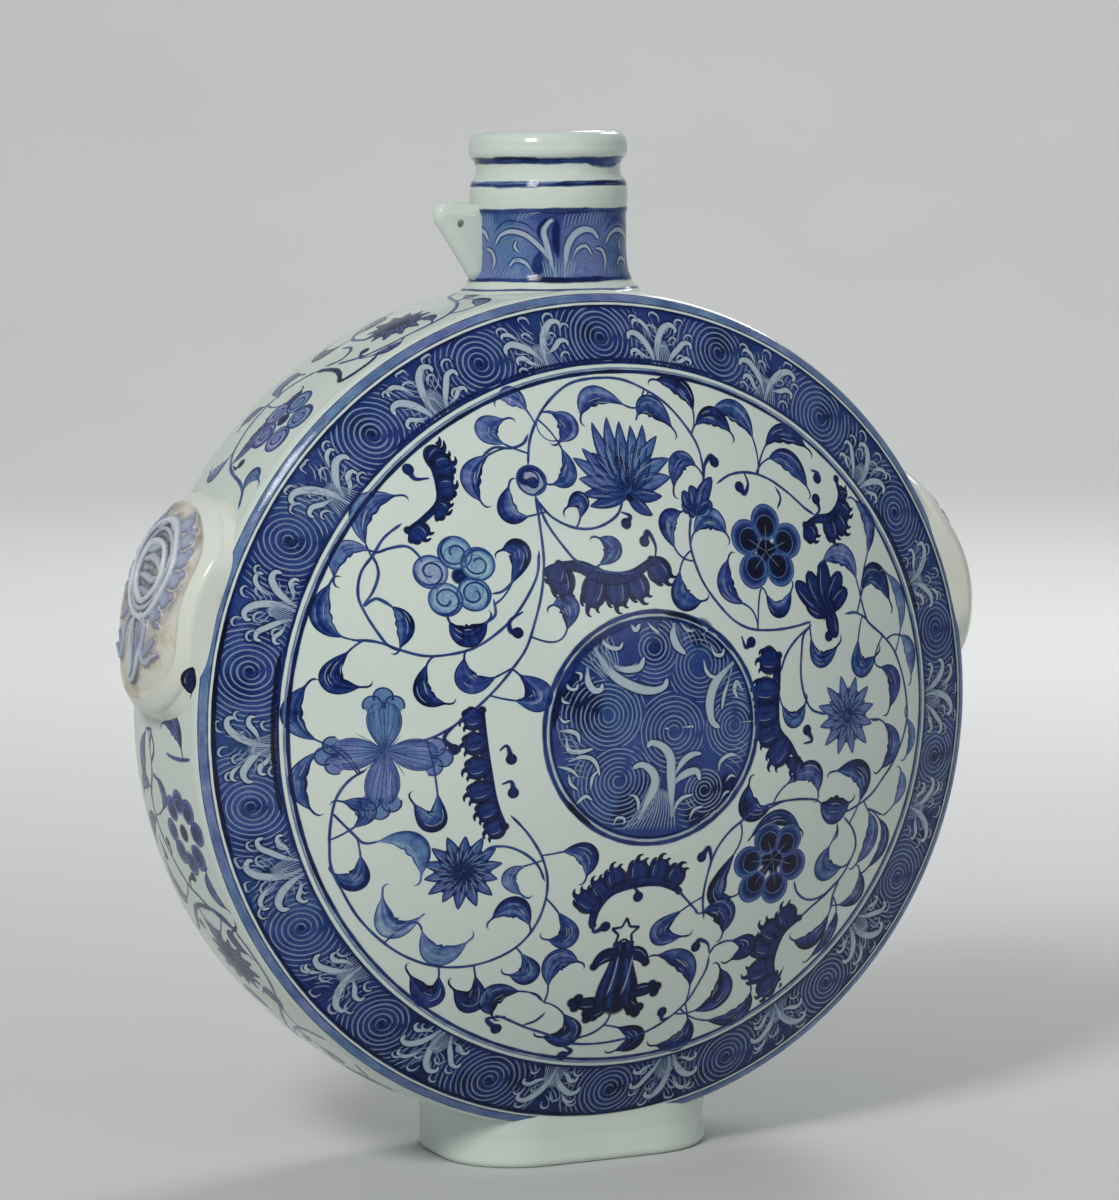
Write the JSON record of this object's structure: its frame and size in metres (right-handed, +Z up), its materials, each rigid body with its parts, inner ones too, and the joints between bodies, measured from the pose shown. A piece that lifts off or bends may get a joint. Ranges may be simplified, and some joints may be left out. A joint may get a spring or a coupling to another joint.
{
  "type": "pilgrim flask",
  "caption": "Round two-faced porcelain flask with domed faces, a narrow ringed neck, a pierced lug, carved side bosses and a hollow oval foot.",
  "frame": {"origin": "centre of the foot's flat base", "axes": "+Z up along the neck, front face towards -Y, pierced lug on the -X side"},
  "size_m": [0.4186, 0.2252, 0.47],
  "materials": {
    "painted_glaze": "clear glaze over cobalt blue painting",
    "white_glaze": "smooth clear glaze",
    "carved_relief": "carved, lightly stained"
  },
  "bodies": {
    "root": {"front_shell": "painted_glaze", "back_shell": "painted_glaze", "side_wall": "painted_glaze", "neck": "painted_glaze", "neck_lug": "white_glaze", "left_boss": "white_glaze", "right_boss": "white_glaze", "left_relief": "carved_relief", "right_relief": "carved_relief", "foot": "white_glaze"}
  },
  "joints": []
}
